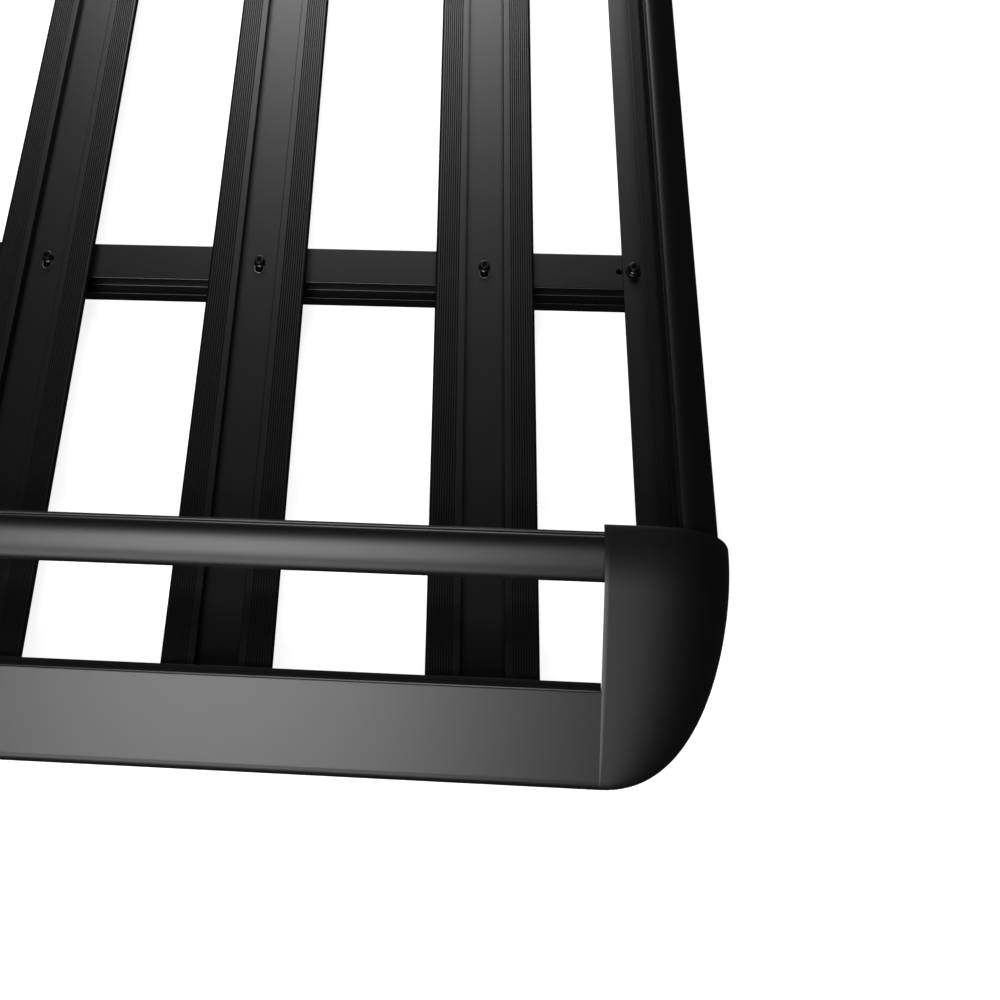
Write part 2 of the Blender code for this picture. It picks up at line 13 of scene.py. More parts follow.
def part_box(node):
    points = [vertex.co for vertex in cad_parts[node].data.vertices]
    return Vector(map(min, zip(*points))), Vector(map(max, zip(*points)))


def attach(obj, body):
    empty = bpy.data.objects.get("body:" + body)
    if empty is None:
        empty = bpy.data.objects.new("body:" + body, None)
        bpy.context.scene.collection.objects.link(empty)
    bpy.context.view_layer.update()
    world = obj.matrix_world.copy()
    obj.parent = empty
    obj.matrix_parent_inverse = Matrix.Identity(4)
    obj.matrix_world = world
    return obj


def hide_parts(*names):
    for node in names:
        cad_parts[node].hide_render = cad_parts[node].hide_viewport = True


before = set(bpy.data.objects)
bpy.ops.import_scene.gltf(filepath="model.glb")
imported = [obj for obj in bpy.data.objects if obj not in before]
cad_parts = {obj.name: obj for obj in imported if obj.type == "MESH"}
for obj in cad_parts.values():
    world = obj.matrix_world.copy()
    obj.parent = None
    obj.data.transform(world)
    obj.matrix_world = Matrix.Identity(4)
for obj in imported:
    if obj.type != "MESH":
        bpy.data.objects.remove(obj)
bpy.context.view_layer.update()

MM = 0.001
ENDS = {"front": -1, "rear": 1}
SIDES = {"left": -1, "right": 1}
PLANK_COUNT = 4

# Sections, as in the frame
PLANK_CHANNEL = 35 * MM
CHANNEL_DEPTH = 10.7 * MM
PLANK_WALL = 2.2 * MM
LIP_DEPTH = 5 * MM
SHOULDER = 3 * MM
GUTTER = 1.7 * MM
GUTTER_DEPTH = 1.6 * MM
GUTTER_FLARE = 0.85               # how far down its width the gutter's slope reaches
CHANNEL_EDGE = 0.6 * MM
RIB_GROOVES = 9
RIB_PITCH = 2.1 * MM
RIB_DEPTH = 0.42 * MM
GROOVE_SHARE = 0.14               # of the ribs' pitch
RIB_STEPS = 12
SLOT_WIDTH = 7.6 * MM
SLOT_LENGTH = 15.6 * MM
SLOT_END_TO_SCREW = 4.6 * MM
SLOT_RIM = 0.75 * MM
RIM_CLEARANCE = 0.05 * MM
RIM_FLARE = 0.1 * MM
RIM_RISE = 0.12 * MM
RIM_SINK = 0.3 * MM
DECK_WIDTH = 37.6 * MM
CROSS_LEDGE_Z = 12 * MM
CROSS_WALL = 2.5 * MM
T_SLOT = 10 * MM
T_SLOT_LIP = 3 * MM
CROSS_EDGE = 1.3 * MM
LEDGE_LIP_RISE = 2 * MM
LEDGE_LIP_WIDTH = 1.6 * MM
LEDGE_LIP_FOOT = 2.6 * MM
SPARE_HOLE_FROM_FLANGE = 3 * MM
HOLE_RADIUS = 3 * MM
FLANGE_WIDTH = 18.9 * MM
SIDE_STEP = 29 * MM
SIDE_WALL = 2.5 * MM
SIDE_BOX_RADIUS = 11 * MM
SIDE_WALL_BOTTOM = 12 * MM
SIDE_EDGE = 0.5 * MM
RAIL_LONG_AXIS = 20 * MM
RAIL_SHORT_AXIS = 10 * MM
RAIL_TILT = math.radians(32)
RAIL_FULLNESS = 2.5              # 2 would be a plain oval
FASCIA_SLOPE = math.radians(28.4)
FASCIA_WALL = 2.5 * MM
FASCIA_SEAM_CLOSED = 0.25 * MM    # added at each end, so that no floor shows through the seam
FASCIA_EDGE = 0.6 * MM
LEDGE_WIDTH = 8 * MM
SHELF = 12 * MM
NOSE_RADIUS = 10 * MM
COVER_WALL = 1.8 * MM
COVER_PLAN_POWERS = (2.25, 1.9)
COVER_SHOULDER_POWERS = (4.3, 3)
COVER_FALL_POWER = 2.2
COVER_STATIONS = 72
COVER_SPOKES = 65
COVER_CROWDING = 2.5              # how much the section's points crowd towards the side
COVER_EDGE = 0.6 * MM
GAP = 0.3 * MM
SHANK_RADIUS = 2.5 * MM
HEAD_RADIUS = 4.4 * MM
HEAD_FLANGE_RADIUS = 5.4 * MM
HEAD_FLANGE = 1.1 * MM
HEAD_HEIGHT = 4.6 * MM            # above its flange
HEAD_EDGE = 0.6 * MM
SOCKET_RADIUS = 2.3 * MM
SOCKET_DEPTH = 2.6 * MM
SOCKET_MOUTH = 1.12               # times the socket's radius
SOCKET_MOUTH_DEPTH = 0.35 * MM
WASHER_EDGE = 0.35 * MM


# Places, read from the frame

def plank_x(number):
    low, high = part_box(f"plank_{number}")
    return (low.x + high.x) / 2


plank_low, plank_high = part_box("plank_3")
PLANK_WIDTH = plank_high.x - plank_low.x
PLANK_BOTTOM, PLANK_TOP = plank_low.z, plank_high.z
FLOOR_TOP = PLANK_TOP - CHANNEL_DEPTH
PLANK_END = plank_high.y
cross_low, cross_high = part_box("cross_member_rear")
CROSS_HEIGHT = cross_high.z
CROSS_Y = cross_low.y + DECK_WIDTH / 2
CROSS_LEDGE = cross_high.y - cross_low.y - DECK_WIDTH
CROSS_END = cross_high.x
side_low, side_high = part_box("side_rail_right")
FLANGE_INNER = side_low.x
FLANGE_TOP = PLANK_BOTTOM + SIDE_WALL
SIDE_OUTER = side_high.x - side_low.x
SIDE_BOTTOM, SIDE_TOP = side_low.z, side_high.z
fascia_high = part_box("fascia_rear")[1]
LEDGE_OUTER = PLANK_END + 0.5 * MM
LEDGE_TOP = SIDE_TOP
FASCIA_DEPTH = fascia_high.y - LEDGE_OUTER
cover_low, cover_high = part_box("corner_cover_rear_right")
COVER_X, COVER_Y = cover_low.x, cover_low.y
COVER_ACROSS = cover_high.x - cover_low.x
COVER_ALONG = cover_high.y - cover_low.y
COVER_TOP = cover_high.z


def rail_center(node, axis):
    """How far out a top rail's centre stands, read from its outer edge, and its height."""
    low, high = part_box(node)
    reach = math.hypot(RAIL_LONG_AXIS * math.cos(RAIL_TILT), RAIL_SHORT_AXIS * math.sin(RAIL_TILT))
    return max(abs(low[axis]), abs(high[axis])) - reach, (low.z + high.z) / 2


# Materials

def nodes_of(name):
    """A new material, its node tree and its shader."""
    made = bpy.data.materials.new(name)
    made.use_nodes = True
    tree = made.node_tree
    return made, tree, tree.nodes["Principled BSDF"]


def texture(tree, kind, scale, **settings):
    """A texture node in object coordinates, so that its grain keeps its real size on every piece."""
    coordinates = tree.nodes.new("ShaderNodeTexCoord")
    made = tree.nodes.new(kind)
    tree.links.new(coordinates.outputs["Object"], made.inputs["Vector"])
    made.inputs["Scale"].default_value = scale
    for socket, value in settings.items():
        made.inputs[socket].default_value = value
    return made


def ramp(tree, source, stops):
    """A colour that runs between two stops, each a position and a colour."""
    made = tree.nodes.new("ShaderNodeValToRGB")
    tree.links.new(source, made.inputs["Fac"])
    made.color_ramp.elements[0].position = stops[0][0]
    made.color_ramp.elements[0].color = (*stops[0][1], 1)
    made.color_ramp.elements[1].position = stops[1][0]
    made.color_ramp.elements[1].color = (*stops[1][1], 1)
    return made.outputs["Color"]


def spread(tree, source, low, high):
    """Stretches the middle of a noise, which seldom passes 0.3 or 0.7, over low to high."""
    made = tree.nodes.new("ShaderNodeMapRange")
    tree.links.new(source, made.inputs["Value"])
    made.inputs["From Min"].default_value = 0.3
    made.inputs["From Max"].default_value = 0.7
    made.inputs["To Min"].default_value = low
    made.inputs["To Max"].default_value = high
    return made.outputs["Result"]


def bump(tree, source, strength, distance):
    made = tree.nodes.new("ShaderNodeBump")
    tree.links.new(source, made.inputs["Height"])
    made.inputs["Strength"].default_value = strength
    made.inputs["Distance"].default_value = distance
    return made.outputs["Normal"]


def coated(name, dark, light, roughness, grain, grain_height, specular=0.5, metallic=0.0):
    """A fine-grained finish: cloudy tone, roughness that varies with it, and a small bump."""
    made, tree, shader = nodes_of(name)
    clouds = texture(tree, "ShaderNodeTexNoise", 22, Detail=4, Roughness=0.6).outputs["Fac"]
    fine = texture(tree, "ShaderNodeTexNoise", grain, Detail=3, Roughness=0.65).outputs["Fac"]
    tree.links.new(ramp(tree, clouds, ((0.3, dark), (0.7, light))), shader.inputs["Base Color"])
    tree.links.new(spread(tree, fine, *roughness), shader.inputs["Roughness"])
    tree.links.new(bump(tree, fine, 0.35, grain_height), shader.inputs["Normal"])
    shader.inputs["Specular IOR Level"].default_value = specular
    shader.inputs["Metallic"].default_value = metallic
    return made


BLACKS = ((0.0014, 0.0015, 0.0018), (0.0024, 0.0025, 0.0029))


def make_materials():
    return {
        "powder": coated("powder_coat", *BLACKS, (0.33, 0.41), 1400, 0.05 * MM),
        "cover": coated("cover_plastic", *BLACKS, (0.38, 0.47), 1100, 0.07 * MM),
        "screw": coated("black_screw_steel", (0.002, 0.002, 0.0022), (0.004, 0.004, 0.0043), (0.26, 0.36),
                        1800, 0.03 * MM, metallic=0.1),
        "cast": coated("cast_aluminium", (0.28, 0.28, 0.29), (0.42, 0.42, 0.43), (0.45, 0.65), 600, 0.2 * MM,
                       metallic=0.9),
        "rim": coated("bare_slot_rim", (0.20, 0.20, 0.21), (0.32, 0.32, 0.33), (0.25, 0.4), 1500, 0.03 * MM,
                      metallic=0.8),
    }


# Outlines

def arc(center, radius, start, stop, count):
    angles = [math.radians(start + (stop - start) * i / (count - 1)) for i in range(count)]
    return [(center[0] + radius * math.cos(a), center[1] + radius * math.sin(a)) for a in angles]


def eased(points, radius, steps=3):
    """Rounds each corner that a (out, up, True) point marks, and keeps the others as they are."""
    made = []
    count = len(points)
    for i, point in enumerate(points):
        here = Vector(point[:2])
        if len(point) < 3:
            made.append(tuple(here))
            continue
        before = Vector(points[i - 1][:2])
        after = Vector(points[(i + 1) % count][:2])
        reach = min(radius, 0.45 * (before - here).length, 0.45 * (after - here).length)
        start = here + (before - here).normalized() * reach
        stop = here + (after - here).normalized() * reach
        for step in range(steps + 1):
            t = step / steps
            made.append(tuple(start * (1 - t) ** 2 + here * 2 * t * (1 - t) + stop * t ** 2))
    return made


def plank_half():
    channel = PLANK_CHANNEL / 2
    edge = PLANK_WIDTH / 2
    points = [(channel - GUTTER, FLOOR_TOP), (channel - GUTTER_FLARE * GUTTER, FLOOR_TOP - GUTTER_DEPTH)]
    points += [(channel, FLOOR_TOP - GUTTER_DEPTH)]
    corner = [(channel, FLOOR_TOP), (channel, PLANK_TOP, True), (channel + SHOULDER, PLANK_TOP)]
    points += eased(corner, CHANNEL_EDGE)[1:]
    first = edge - SHOULDER - RIB_PITCH * RIB_GROOVES
    for i in range(RIB_GROOVES):
        # A rib is a flat crest with round shoulders, and a groove a narrow valley.
        for step in range(RIB_STEPS):
            share = step / RIB_STEPS
            depth = RIB_DEPTH * math.exp(-((share - 0.5) / GROOVE_SHARE) ** 2)
            points.append((first + RIB_PITCH * (i + share), PLANK_TOP - depth))
    points += arc((edge - SHOULDER, PLANK_TOP - SHOULDER), SHOULDER, 90, 0, 9)
    points += [(edge, PLANK_TOP - LIP_DEPTH), (edge - PLANK_WALL, PLANK_TOP - LIP_DEPTH)]
    points += [(edge - PLANK_WALL, PLANK_TOP - SHOULDER), (edge - SHOULDER, PLANK_TOP - PLANK_WALL)]
    points += [(channel + PLANK_WALL, PLANK_TOP - PLANK_WALL), (channel + PLANK_WALL, PLANK_BOTTOM)]
    return points


def plank_outline():
    half = plank_half()
    return half + [(-out, up) for out, up in reversed(half)]


def cross_outline():
    half = DECK_WIDTH / 2
    outer = half + CROSS_LEDGE
    inside = half - CROSS_WALL
    slot = T_SLOT / 2
    lip = T_SLOT_LIP
    lip_top = CROSS_LEDGE_Z + LEDGE_LIP_RISE
    points = [(-half, 0), (-slot, 0), (-slot, lip), (-inside, lip), (-inside, CROSS_HEIGHT - CROSS_WALL)]
    points += [(inside, CROSS_HEIGHT - CROSS_WALL), (inside, lip), (slot, lip), (slot, 0)]
    points += [(half, 0), (half, CROSS_LEDGE_Z - CROSS_WALL)]
    points += [(outer - CROSS_WALL, CROSS_LEDGE_Z - CROSS_WALL)]
    points += [(outer - CROSS_WALL, 0), (outer, 0, True), (outer, lip_top, True)]
    points += [(outer - LEDGE_LIP_WIDTH, lip_top, True), (outer - LEDGE_LIP_FOOT, CROSS_LEDGE_Z)]
    points += [(half, CROSS_LEDGE_Z, True)]
    points += [(half, CROSS_HEIGHT, True), (-half, CROSS_HEIGHT, True)]
    return eased(points, CROSS_EDGE)


def rounded(share, power):
    """One coordinate of a superellipse. Power 2 leaves a plain oval."""
    return math.copysign(abs(share) ** (2 / power), share)


def rail_outline(count=160):
    """A tilted oval with a round bead along its inner edge and a thin groove behind the bead."""
    bead_turn, bead_width, bead_height = math.radians(167), math.radians(6), 1.1 * MM
    groove_turn, groove_width, groove_depth = math.radians(155), math.radians(3.2), 0.9 * MM
    points = []
    for i in range(count):
        turn = math.pi - 2 * math.pi * i / count
        grow = bead_height * math.exp(-((turn - bead_turn) / bead_width) ** 2)
        grow -= groove_depth * math.exp(-((turn - groove_turn) / groove_width) ** 2)
        along = (RAIL_LONG_AXIS + 0.2 * grow) * rounded(math.cos(turn), RAIL_FULLNESS)
        across = RAIL_SHORT_AXIS * rounded(math.sin(turn), RAIL_FULLNESS) + grow
        points.append((along * math.cos(RAIL_TILT) + across * math.sin(RAIL_TILT),
                       across * math.cos(RAIL_TILT) - along * math.sin(RAIL_TILT)))
    return points


def fascia_slope(outward):
    return LEDGE_TOP - math.tan(FASCIA_SLOPE) * outward


def nose_arc(radius, count):
    center_out = FASCIA_DEPTH - NOSE_RADIUS
    tangent = center_out + NOSE_RADIUS * math.sin(FASCIA_SLOPE)
    center_up = fascia_slope(tangent) - NOSE_RADIUS * math.cos(FASCIA_SLOPE)
    return arc((center_out, center_up), radius, 90 - math.degrees(FASCIA_SLOPE), 0, count)


def fascia_outline():
    groove = 0.5 * MM
    points = [(-LEDGE_WIDTH, LEDGE_TOP, True)]
    for start in (-0.62 * LEDGE_WIDTH, -0.28 * LEDGE_WIDTH):
        points += [(start, LEDGE_TOP), (start + 0.3 * groove, LEDGE_TOP - groove)]
        points += [(start + 1.1 * groove, LEDGE_TOP - groove), (start + 1.4 * groove, LEDGE_TOP)]
    points += [(-1.2 * groove, LEDGE_TOP + groove), (0, LEDGE_TOP + groove), (groove, fascia_slope(groove))]
    points += nose_arc(NOSE_RADIUS, 17)
    points += reversed(nose_arc(NOSE_RADIUS - FASCIA_WALL, 17))
    wall_up = FASCIA_WALL / math.cos(FASCIA_SLOPE)
    points += [(FASCIA_WALL, fascia_slope(FASCIA_WALL) - wall_up)]
    shelf_inner = FASCIA_WALL - SHELF - GAP
    points += [(FASCIA_WALL, CROSS_HEIGHT - FASCIA_WALL), (shelf_inner, CROSS_HEIGHT - FASCIA_WALL)]
    points += [(shelf_inner, CROSS_HEIGHT), (0, CROSS_HEIGHT)]
    points += [(0, LEDGE_TOP - FASCIA_WALL), (-LEDGE_WIDTH, LEDGE_TOP - FASCIA_WALL)]
    return eased(points, FASCIA_EDGE)


def side_outline():
    bead = 0.6 * MM
    shoulder = SIDE_OUTER - SIDE_BOX_RADIUS
    shoulder_z = SIDE_TOP - SIDE_BOX_RADIUS
    step = FLANGE_WIDTH
    points = [(0, PLANK_BOTTOM), (0, FLANGE_TOP, True), (step, FLANGE_TOP)]
    points += [(step + 0.5 * bead, FLANGE_TOP - 1.6 * bead), (step + 2 * bead, FLANGE_TOP - 1.6 * bead)]
    points += [(step + 2 * bead, FLANGE_TOP + bead, True), (step + 4.4 * bead, FLANGE_TOP + bead, True)]
    points += [(step + 4.6 * bead, FLANGE_TOP), (SIDE_STEP, FLANGE_TOP), (SIDE_STEP, SIDE_TOP, True)]
    points += arc((shoulder, shoulder_z), SIDE_BOX_RADIUS, 90, 0, 17)
    points += [(SIDE_OUTER, SIDE_BOTTOM), (SIDE_OUTER - SIDE_WALL, SIDE_BOTTOM)]
    points += reversed(arc((shoulder, shoulder_z), SIDE_BOX_RADIUS - SIDE_WALL, 90, 0, 17))
    points += [(SIDE_STEP + SIDE_WALL, SIDE_TOP - SIDE_WALL), (SIDE_STEP + SIDE_WALL, SIDE_WALL_BOTTOM)]
    points += [(SIDE_STEP, SIDE_WALL_BOTTOM), (SIDE_STEP, PLANK_BOTTOM)]
    return eased(points, SIDE_EDGE)


def circle(radius, count):
    return [(radius * math.cos(2 * math.pi * i / count), radius * math.sin(2 * math.pi * i / count))
            for i in range(count)]


def slot_outline(grow=0.0):
    """A plank's slot about the screw, with its long way towards the nearer end of the rack."""
    radius = SLOT_WIDTH / 2
    start = radius - SLOT_END_TO_SCREW
    straight = SLOT_LENGTH - SLOT_WIDTH
    far_end = arc((0, start + straight), radius + grow, 0, 180, 17)
    near_end = arc((0, start), radius + grow, 180, 360, 17)
    return far_end + near_end


# Meshes

def piece_of(shape, name, look, smooth_below=32):
    bmesh.ops.recalc_face_normals(shape, faces=shape.faces)
    mesh = bpy.data.meshes.new(name)
    shape.to_mesh(mesh)
    shape.free()
    mesh.shade_smooth()
    mesh.set_sharp_from_angle(angle=math.radians(smooth_below))
    made = bpy.data.objects.new(name, mesh)
    bpy.context.scene.collection.objects.link(made)
    if look is not None:
        mesh.materials.append(look)
    return made


def prism(name, outline, start, stop, place, look=None):
    """An outline drawn out between two distances along the place's third axis."""
    shape = bmesh.new()
    rings = []
    for distance in (start, stop):
        rings.append([shape.verts.new(place @ Vector((out, up, distance))) for out, up in outline])
    for i in range(len(outline)):
        after = (i + 1) % len(outline)
        shape.faces.new((rings[0][i], rings[0][after], rings[1][after], rings[1][i]))
    for ring in rings:
        shape.faces.new(ring)
    return piece_of(shape, name, look)


def frame_of(outward, along, origin=(0, 0, 0)):
    """The place of a prism whose outline's first axis points outward and whose second points up."""
    columns = Matrix((outward, (0, 0, 1), along)).transposed().to_4x4()
    return Matrix.Translation(origin) @ columns


def applied(piece):
    graph = bpy.context.evaluated_depsgraph_get()
    mesh = bpy.data.meshes.new_from_object(piece.evaluated_get(graph))
    piece.modifiers.clear()
    piece.data = mesh


def settled(piece, smooth_below=32):
    """Applies a piece's cuts, removes the tools, and shades it so that its flat faces stay flat."""
    tools = [modifier.object for modifier in piece.modifiers if modifier.type == "BOOLEAN"]
    applied(piece)
    for tool in tools:
        bpy.data.objects.remove(tool)
    piece.data.shade_smooth()
    piece.data.set_sharp_from_angle(angle=math.radians(smooth_below))
    flat = piece.modifiers.new("flat faces", "WEIGHTED_NORMAL")
    flat.keep_sharp = True
    applied(piece)
    return piece


def cut(piece, tool):
    modifier = piece.modifiers.new(tool.name, "BOOLEAN")
    modifier.operation = "DIFFERENCE"
    modifier.solver = "EXACT"
    modifier.object = tool
    tool.hide_render = True


def stand_for(piece, slot, *cad_nodes):
    """Makes a piece stand for CAD nodes that it shows more finely."""
    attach(piece, "root")
    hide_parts(*cad_nodes)


def detail(piece):
    """Adds a piece that the CAD doesn't have."""
    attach(piece, "root")


# Pieces

def make_planks(looks):
    for number in range(1, PLANK_COUNT + 1):
        x = plank_x(number)
        place = frame_of((1, 0, 0), (0, 1, 0), (x, 0, 0))
        plank = prism(f"ribbed_plank_{number}", plank_outline(), -PLANK_END, PLANK_END, place,
                      looks["powder"])
        for end, sign in ENDS.items():
            outline = [(side, sign * along) for side, along in slot_outline()]
            hole = prism(f"slot_tool_{number}_{end}", outline, PLANK_BOTTOM - MM, FLOOR_TOP + MM,
                         Matrix.Translation((x, sign * CROSS_Y, 0)))
            cut(plank, hole)
            make_slot_rim(f"slot_rim_{end}_{number}", x, sign, looks)
        stand_for(settled(plank), "powder_coat", f"plank_{number}")


def make_slot_rim(name, x, sign, looks):
    """The bare chamfer round a slot, standing just proud of the channel's floor."""
    inner, outer = slot_outline(RIM_CLEARANCE), slot_outline(SLOT_RIM)
    foot = FLOOR_TOP - RIM_SINK
    levels = ((inner, foot), (inner, FLOOR_TOP + 0.3 * RIM_RISE), (outer, FLOOR_TOP + RIM_RISE),
              (slot_outline(SLOT_RIM + RIM_FLARE), foot))
    shape = bmesh.new()
    rings = []
    for outline, height in levels:
        places = [(x + side, sign * (CROSS_Y + along), height) for side, along in outline]
        rings.append([shape.verts.new(place) for place in places])
    rings.append(rings[0])
    for low, high in zip(rings, rings[1:]):
        for i in range(len(low)):
            after = (i + 1) % len(low)
            shape.faces.new((low[i], low[after], high[after], high[i]))
    detail(piece_of(shape, name, looks["rim"], 20))


def make_cross_members(looks):
    for end, sign in ENDS.items():
        place = frame_of((0, sign, 0), (1, 0, 0), (0, sign * CROSS_Y, 0))
        member = prism(f"deck_cross_member_{end}", cross_outline(), -CROSS_END, CROSS_END, place,
                       looks["powder"])
        holes = [plank_x(number) for number in range(1, PLANK_COUNT + 1)]
        for side in SIDES.values():
            holes += [side * (FLANGE_INNER + FLANGE_WIDTH / 2)]
            holes += [side * (FLANGE_INNER - SPARE_HOLE_FROM_FLANGE)]
        for i, x in enumerate(holes):
            upright = Matrix.Translation((x, sign * CROSS_Y, 0))
            cut(member, prism(f"deck_tool_{end}_{i}", circle(HOLE_RADIUS, 24),
                              CROSS_HEIGHT - 2 * CROSS_WALL, CROSS_HEIGHT + CROSS_WALL, upright))
        stand_for(settled(member), "powder_coat", f"cross_member_{end}")


def make_side_rails(looks):
    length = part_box("side_rail_right")[1].y
    for side, sign in SIDES.items():
        place = frame_of((sign, 0, 0), (0, 1, 0), (sign * FLANGE_INNER, 0, 0))
        rail = prism(f"flanged_side_rail_{side}", side_outline(), -length, length, place, looks["powder"])
        for end, toward in ENDS.items():
            x = sign * (FLANGE_INNER + FLANGE_WIDTH / 2)
            cut(rail, prism(f"flange_tool_{side}_{end}", circle(HOLE_RADIUS, 24), PLANK_BOTTOM - SIDE_WALL,
                            FLANGE_TOP + SIDE_WALL, Matrix.Translation((x, toward * CROSS_Y, 0))))
        stand_for(settled(rail), "powder_coat", f"side_rail_{side}")


def make_top_rails(looks):
    for side, sign in SIDES.items():
        node = f"top_rail_{side}"
        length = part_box(node)[1].y
        out, up = rail_center(node, 0)
        place = frame_of((sign, 0, 0), (0, 1, 0), (sign * out, 0, up))
        rail = prism(f"oval_rail_{side}", rail_outline(), -length, length, place, looks["powder"])
        stand_for(rail, "powder_coat", node)
    for end, sign in ENDS.items():
        node = f"top_rail_{end}"
        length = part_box(node)[1].x
        out, up = rail_center(node, 1)
        place = frame_of((0, sign, 0), (1, 0, 0), (0, sign * out, up))
        rail = prism(f"oval_rail_{end}", rail_outline(), -length, length, place, looks["powder"])
        stand_for(rail, "powder_coat", node)


def make_fascias(looks):
    length = fascia_high.x + FASCIA_SEAM_CLOSED
    for end, sign in ENDS.items():
        place = frame_of((0, sign, 0), (1, 0, 0), (0, sign * LEDGE_OUTER, 0))
        fascia = prism(f"sloping_fascia_{end}", fascia_outline(), -length, length, place, looks["powder"])
        stand_for(settled(fascia), "powder_coat", f"fascia_{end}")


# Corner covers

def nose_profile():
    ledge = LEDGE_OUTER - COVER_Y
    slope = math.tan(FASCIA_SLOPE)
    drop = COVER_TOP - LEDGE_TOP
    bend = 2 * (ledge - drop / slope)
    points = []
    for i in range(61):
        out = bend * i / 60
        points.append((out, COVER_TOP - slope * out * out / (2 * bend)))
    points += [(ledge + out, up) for out, up in nose_arc(NOSE_RADIUS, 25)]
    return points


def height_at(profile, out):
    for (out0, up0), (out1, up1) in zip(profile, profile[1:]):
        if out <= out1:
            return up0 + (up1 - up0) * (out - out0) / (out1 - out0)
    return profile[-1][1]


def cover_surface(shrink):
    """Rounded sections, one behind another, that shrink along the cover's plan towards the nose."""
    profile = nose_profile()
    bottom = profile[-1][1]
    across_power, along_power = COVER_PLAN_POWERS
    rear_power, nose_power = COVER_SHOULDER_POWERS
    rows = []
    for i in range(COVER_STATIONS):
        turn = math.pi / 2 * i / COVER_STATIONS
        share = math.sin(turn) ** (2 / along_power)
        width = (COVER_ACROSS - shrink) * math.cos(turn) ** (2 / across_power)
        height = height_at(profile, COVER_ALONG * share) - bottom - shrink
        power = rear_power + (nose_power - rear_power) * share ** 2
        row = []
        for j in range(COVER_SPOKES):
            # Closer together towards the side, where the section falls steeply.
            out = 1 - (1 - j / (COVER_SPOKES - 1)) ** COVER_CROWDING
            up = (1 - out ** power) ** (1 / COVER_FALL_POWER)
            row.append((width * out, (COVER_ALONG - shrink) * share, bottom + height * up))
        rows.append(row)
    return rows, (0, COVER_ALONG - shrink, bottom)


def cover_piece(name, sign_x, sign_y, look):
    shape = bmesh.new()
    shells = []
    for shrink in (0, COVER_WALL):
        rows, tip = cover_surface(shrink)
        grid = []
        for row in rows + [[tip]]:
            places = [(sign_x * (COVER_X + x), sign_y * (COVER_Y + y), z) for x, y, z in row]
            grid.append([shape.verts.new(place) for place in places])
        for near, far in zip(grid[:-1], grid[1:-1]):
            for j in range(COVER_SPOKES - 1):
                shape.faces.new((near[j], near[j + 1], far[j + 1], far[j]))
        for j in range(COVER_SPOKES - 1):
            shape.faces.new((grid[-2][j], grid[-2][j + 1], grid[-1][0]))
        shells.append(grid)
    outer, inner = shells
    rims = [(outer[0], inner[0])]
    for index in (0, -1):
        rims.append(([row[index] for row in outer], [row[index] for row in inner]))
    for outside, inside in rims:
        for j in range(len(outside) - 1):
            shape.faces.new((outside[j], outside[j + 1], inside[j + 1], inside[j]))
    cover = piece_of(shape, name, look, 50)
    rounding = cover.modifiers.new("edge", "BEVEL")
    rounding.width = COVER_EDGE
    rounding.segments = 2
    rounding.limit_method = "ANGLE"
    rounding.angle_limit = math.radians(55)
    applied(cover)
    cover.data.shade_smooth()
    cover.data.set_sharp_from_angle(angle=math.radians(60))
    return cover


def make_covers(looks):
    for end, sign_y in ENDS.items():
        for side, sign_x in SIDES.items():
            cover = cover_piece(f"moulded_cover_{end}_{side}", sign_x, sign_y, looks["cover"])
            stand_for(cover, "cover_plastic", f"corner_cover_{end}_{side}")


# Fasteners

def turned(profile, count):
    """A solid turned from an open profile whose two ends lie on the axis."""
    shape = bmesh.new()
    rings = []
    for radius, height in profile:
        if radius == 0:
            rings.append([shape.verts.new((0, 0, height))] * count)
        else:
            rings.append([shape.verts.new((x, y, height)) for x, y in circle(radius, count)])
    for low, high in zip(rings, rings[1:]):
        for i in range(count):
            after = (i + 1) % count
            corners = []
            for corner in (low[i], low[after], high[after], high[i]):
                if corner not in corners:
                    corners.append(corner)
            shape.faces.new(corners)
    return shape


def turned_ring(profile, count):
    """A ring turned from a closed profile that doesn't touch the axis."""
    shape = bmesh.new()
    rings = []
    for radius, height in profile:
        rings.append([shape.verts.new((x, y, height)) for x, y in circle(radius, count)])
    for low, high in zip(rings, rings[1:] + rings[:1]):
        for i in range(count):
            after = (i + 1) % count
            shape.faces.new((low[i], low[after], high[after], high[i]))
    return shape


def screw_piece(name, length, look):
    """A socket-head screw standing on z = 0, with a pressed flange and a plain round head with a hexagon
    socket.
    """
    top = HEAD_FLANGE + HEAD_HEIGHT
    bevel = HEAD_EDGE
    profile = [(0, -length), (SHANK_RADIUS - bevel, -length), (SHANK_RADIUS, bevel - length)]
    profile += [(SHANK_RADIUS, 0)]
    profile += [(HEAD_FLANGE_RADIUS - bevel, 0), (HEAD_FLANGE_RADIUS, 0.5 * bevel)]
    profile += [(HEAD_FLANGE_RADIUS, HEAD_FLANGE - bevel), (HEAD_RADIUS + 0.4 * bevel, HEAD_FLANGE)]
    profile += [(HEAD_RADIUS, HEAD_FLANGE + 0.4 * bevel)]
    profile += arc((HEAD_RADIUS - bevel, top - bevel), bevel, 0, 90, 5)
    profile += [(0, top)]
    screw = piece_of(turned(profile, 48), name, look)
    hexagon = (SOCKET_RADIUS, SOCKET_DEPTH, 6)
    countersink = (SOCKET_MOUTH * SOCKET_RADIUS, SOCKET_MOUTH_DEPTH, 24)
    for index, (radius, depth, count) in enumerate((hexagon, countersink)):
        cut(screw, prism(f"{name}_tool_{index}", circle(radius, count), top - depth, top + bevel,
                         Matrix.Identity(4)))
    return settled(screw)


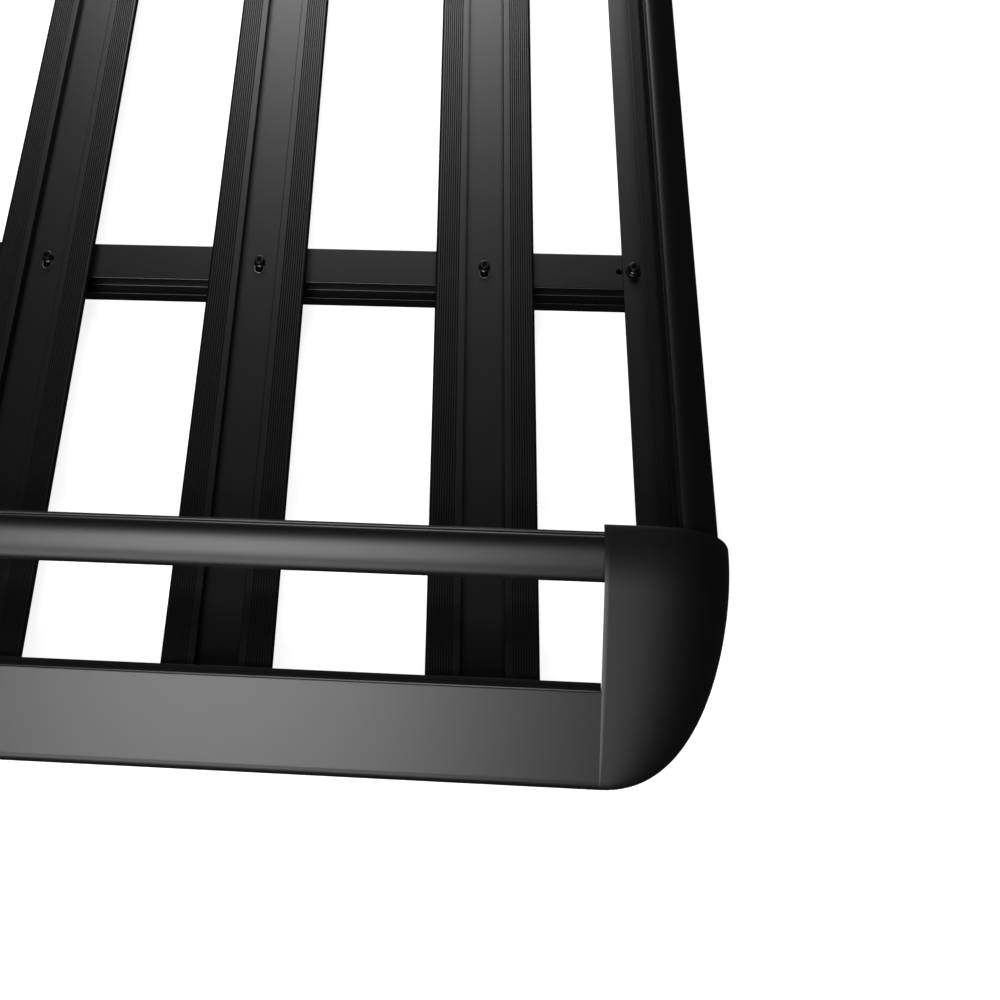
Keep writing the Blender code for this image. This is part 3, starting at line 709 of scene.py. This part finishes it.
def make_fasteners(looks):
    for kind in ("plank", "rail"):
        for end in ENDS:
            places = range(1, PLANK_COUNT + 1) if kind == "plank" else SIDES
            for place in places:
                node = f"{kind}_screw_{end}_{place}"
                low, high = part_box(node)
                seat = high.z - HEAD_FLANGE - HEAD_HEIGHT
                screw = screw_piece(f"socket_{node}", seat - low.z, looks["screw"])
                screw.location = ((low.x + high.x) / 2, (low.y + high.y) / 2, seat)
                stand_for(screw, "fastener_steel", node)
    for end in ENDS:
        for side in SIDES:
            node = f"rail_washer_{end}_{side}"
            low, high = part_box(node)
            radius = (high.x - low.x) / 2
            bore = SHANK_RADIUS + GAP
            thick = high.z - low.z
            edge = WASHER_EDGE
            profile = [(bore, edge), (bore, thick - edge), (bore + edge, thick), (radius - edge, thick)]
            profile += [(radius, thick - edge), (radius, edge), (radius - edge, 0), (bore + edge, 0)]
            washer = piece_of(turned_ring(profile, 64), f"round_{node}", looks["screw"])
            washer.location = ((low.x + high.x) / 2, (low.y + high.y) / 2, low.z)
            stand_for(washer, "fastener_steel", node)


def dress_cad_nodes(looks):
    """The hidden brackets, posts and nuts keep their CAD shapes and get finished materials."""
    kinds = {"corner_bracket": "cast", "rail_post": "cover", "plank_nut": "screw", "rail_nut": "screw"}
    for name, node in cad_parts.items():
        for kind, look in kinds.items():
            if name.startswith(kind):
                for slot in node.material_slots:
                    slot.material = looks[look]


# Stage, light and camera

def glowing(name, color, strength, albedo):
    """A plain pale surface that stays pale outside the panels' reach."""
    made, tree, shader = nodes_of(name)
    grain = texture(tree, "ShaderNodeTexNoise", 3, Detail=2).outputs["Fac"]
    low = (0.97 * albedo,) * 3
    tree.links.new(ramp(tree, grain, ((0.3, low), (0.7, (albedo,) * 3))), shader.inputs["Base Color"])
    shader.inputs["Roughness"].default_value = 0.9
    shader.inputs["Specular IOR Level"].default_value = 0.0
    shader.inputs["Emission Color"].default_value = (*color, 1)
    shader.inputs["Emission Strength"].default_value = strength
    return made


def make_stage():
    shape = bmesh.new()
    bmesh.ops.create_circle(shape, cap_ends=True, segments=96, radius=9)
    floor = piece_of(shape, "studio_floor", glowing("floor_paint", (1, 1, 1), 0.86, 0.75))
    floor.location.z = -0.4 * MM
    shape = bmesh.new()
    bmesh.ops.create_uvsphere(shape, u_segments=64, v_segments=32, radius=8.9)
    backdrop = piece_of(shape, "studio_backdrop", glowing("backdrop_paint", (1, 1, 1), 0.94, 0.0))
    for piece in (floor, backdrop):
        piece.visible_glossy = False
        piece.visible_diffuse = False
        piece.visible_shadow = False


def panel(name, azimuth, elevation, distance, size, radiance, target=(0, 0, 0)):
    """A soft light panel. Azimuth runs from the rack's rear towards its right."""
    turn, lift = math.radians(azimuth), math.radians(elevation)
    direction = Vector((math.sin(turn) * math.cos(lift), math.cos(turn) * math.cos(lift), math.sin(lift)))
    lamp = bpy.data.lights.new(name, "AREA")
    lamp.shape = "RECTANGLE"
    lamp.size, lamp.size_y = size
    lamp.energy = radiance * math.pi * size[0] * size[1]
    made = bpy.data.objects.new(name, lamp)
    bpy.context.scene.collection.objects.link(made)
    made.location = Vector(target) + direction * distance
    made.rotation_euler = direction.to_track_quat("Z", "Y").to_euler()
    made.visible_camera = False


def make_light():
    world = bpy.data.worlds.new("studio")
    bpy.context.scene.world = world
    world.use_nodes = True
    world.node_tree.nodes["Background"].inputs["Color"].default_value = (0.95, 0.97, 1.0, 1)
    world.node_tree.nodes["Background"].inputs["Strength"].default_value = 0.025
    front = (0, -0.5, 0)
    panel("rear_panel", azimuth=-1, elevation=31, distance=3.4, size=(1.7, 1.6), radiance=10.5)
    panel("front_left_panel", azimuth=-170, elevation=46, distance=2.6, size=(1.2, 0.9), radiance=12.2,
          target=front)
    panel("low_front_panel", azimuth=-168, elevation=12, distance=2.6, size=(2.0, 0.9), radiance=4.5,
          target=front)
    bpy.context.scene.view_settings.view_transform = "Standard"


def make_camera():
    lens = bpy.data.cameras.new("view")
    lens.lens = 44.45
    lens.sensor_width = 36
    lens.shift_x = 0.15
    lens.shift_y = -0.15
    camera = bpy.data.objects.new("view", lens)
    bpy.context.scene.collection.objects.link(camera)
    heading, tilt, roll = math.radians(8.49), math.radians(27.76), math.radians(-5.98)
    turn = Matrix.Rotation(heading, 4, "Z") @ Matrix.Rotation(tilt, 4, "X") @ Matrix.Rotation(roll, 4, "Z")
    camera.matrix_world = Matrix.Translation((0.2684, -0.8489, 1.0145)) @ turn
    bpy.context.scene.camera = camera


def main():
    looks = make_materials()
    make_planks(looks)
    make_cross_members(looks)
    make_side_rails(looks)
    make_top_rails(looks)
    make_fascias(looks)
    make_covers(looks)
    make_fasteners(looks)
    dress_cad_nodes(looks)
    make_stage()
    make_light()
    make_camera()


main()
